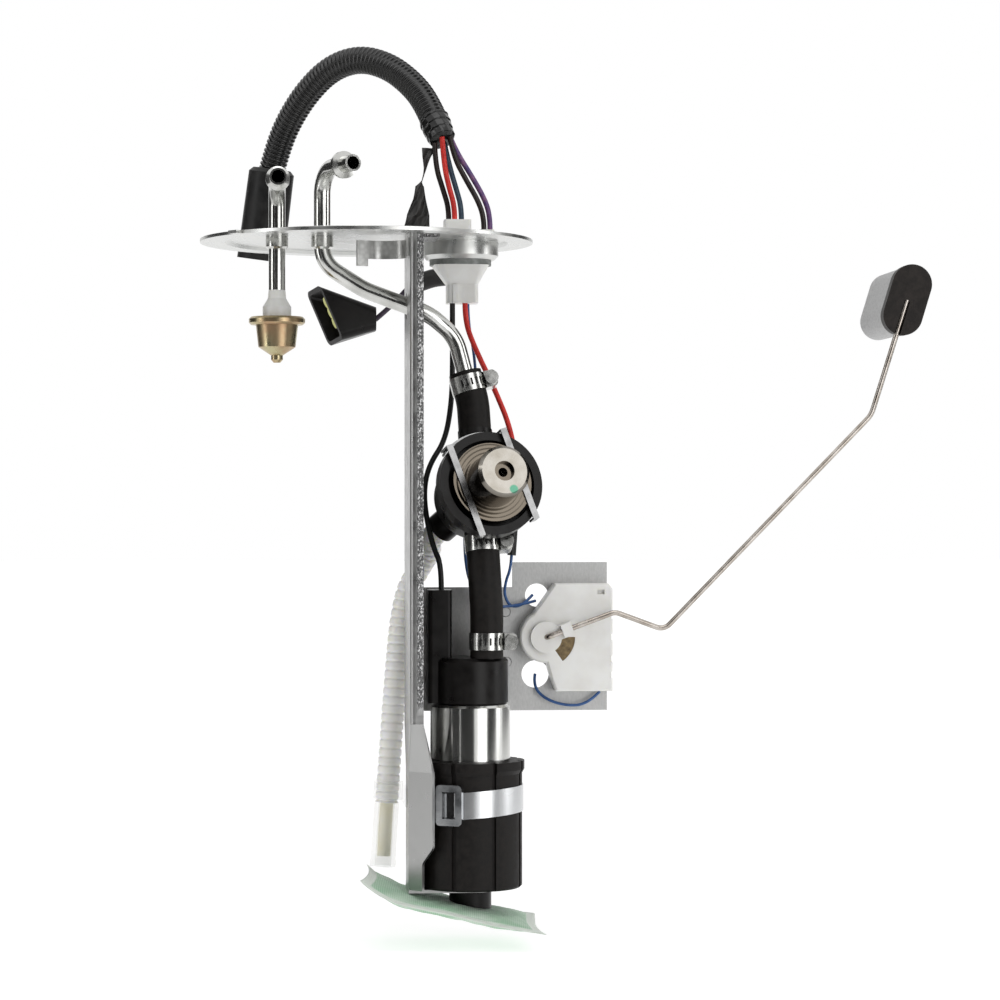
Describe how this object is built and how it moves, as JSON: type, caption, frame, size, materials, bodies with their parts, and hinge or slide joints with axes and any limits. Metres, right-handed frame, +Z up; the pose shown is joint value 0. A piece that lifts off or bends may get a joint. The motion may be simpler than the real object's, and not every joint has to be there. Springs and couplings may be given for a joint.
{
  "type": "fuel pump module",
  "caption": "Hanger-type in-tank fuel pump module: round flange with tubes, bracket, regulator, strapped pump, strainer and float level sender.",
  "frame": {"origin": "centre of the flange rim's underside, where the module seats on the tank", "axes": "+Z up out of the tank along the flange axis, -Y the front that shows the regulator's face, +X towards the float"},
  "size_m": [0.352, 0.1835, 0.4277],
  "materials": {
    "zinc_steel": "zinc-plated sheet and tube, soft satin",
    "steel": "bright stainless or spring steel",
    "can_steel": "smooth drawn can",
    "yellow_zinc": "yellow chromate over zinc",
    "white_nylon": "moulded white nylon",
    "natural_nylon": "natural translucent nylon",
    "clear_nylon": "clear-looking nylon",
    "black_plastic": "black moulded plastic",
    "rubber": "black fuel rubber",
    "grey_rubber": "grey seal rubber",
    "conduit_plastic": "black corrugated tube",
    "tape": "black wrap tape",
    "mesh_fabric": "pale woven strainer cloth",
    "float_grey": "closed-cell float body",
    "wire_red": "red insulation",
    "wire_black": "black insulation",
    "wire_blue": "blue insulation",
    "wire_dark": "dark insulation",
    "seal_green": "yellow-green seal rubber",
    "magnet": "ferrite magnet",
    "laminations": "stacked sheet",
    "copper": "copper bars",
    "carbon": "pressed carbon",
    "card_bronze": "printed resistor card"
  },
  "bodies": {
    "module": {"flange_plate": "zinc_steel", "vapor_tube": "zinc_steel", "supply_tube": "zinc_steel", "passthrough_connector": "white_nylon", "passthrough_seal": "grey_rubber", "passthrough_socket": "white_nylon", "hanger_bracket": "zinc_steel", "hanger_brace": "zinc_steel", "vapor_valve_neck": "white_nylon", "vapor_valve_crimp": "yellow_zinc", "vapor_valve_cup": "yellow_zinc", "vapor_valve_spring": "steel", "upper_hose": "rubber", "lower_hose": "rubber", "hose_clamps": "steel", "clamp_screws": "steel", "regulator_housing": "black_plastic", "regulator_can": "can_steel", "regulator_clip": "steel", "regulator_spring": "steel", "return_hose": "natural_nylon", "return_sleeve": "clear_nylon", "return_hose_clip": "clear_nylon", "pump_shell": "can_steel", "pump_outlet_cap": "black_plastic", "pump_inlet_cover": "black_plastic", "pump_chamber_plate": "black_plastic", "pump_magnets": "magnet", "pump_brushes": "carbon", "check_valve_spring": "steel", "isolator_sleeve": "rubber", "strap_band": "zinc_steel", "strap_buckle": "zinc_steel", "strainer_collar": "black_plastic", "strainer_bag": "mesh_fabric", "sender_plate": "zinc_steel", "sender_rivets": "steel", "sender_housing": "white_nylon", "sender_card": "card_bronze", "wire_red": "wire_red", "wire_black": "wire_black", "wires_blue": "wire_blue", "harness_conduit": "conduit_plastic", "harness_tape": "tape", "harness_boot": "rubber", "harness_wire_red": "wire_red", "harness_wires_dark": "wire_dark", "vehicle_connector": "black_plastic", "vehicle_connector_seal": "seal_green"},
    "float_arm": {"sender_rotor": "white_nylon", "float_rod": "steel", "float_body": "float_grey", "float_cap": "black_plastic"},
    "pump_rotor": {"pump_armature": "laminations", "pump_shaft": "steel", "pump_commutator": "copper", "pump_impeller": "black_plastic"},
    "outlet_check": {"check_valve": "natural_nylon"},
    "regulator_plunger": {"regulator_valve": "steel"},
    "vapor_poppet": {"vapor_valve_poppet": "natural_nylon"}
  },
  "joints": [
    {"name": "float_swing", "type": "hinge", "parent": "module", "child": "float_arm", "pos_m": [0.0852, -0.016, -0.1892], "axis": [0, 1, 0], "range_deg": [-6, 76]},
    {"name": "pump_spin", "type": "hinge", "parent": "module", "child": "pump_rotor", "pos_m": [0.048, -0.027, -0.26], "axis": [0, 0, 1], "continuous": true},
    {"name": "check_lift", "type": "slide", "parent": "module", "child": "outlet_check", "axis": [0, 0, 1], "range_m": [0, 0.0015], "stiffness_N_per_m": 200, "springref_m": -0.001, "deforming": ["check_valve_spring"]},
    {"name": "regulator_lift", "type": "slide", "parent": "module", "child": "regulator_plunger", "axis": [0.1851, -0.9525, 0.2419], "range_m": [0, 0.0008], "stiffness_N_per_m": 4000, "springref_m": -0.002, "deforming": ["regulator_spring"]},
    {"name": "vapor_lift", "type": "slide", "parent": "module", "child": "vapor_poppet", "axis": [0, 0, 1], "range_m": [0, 0.0015], "deforming": ["vapor_valve_spring"]}
  ]
}
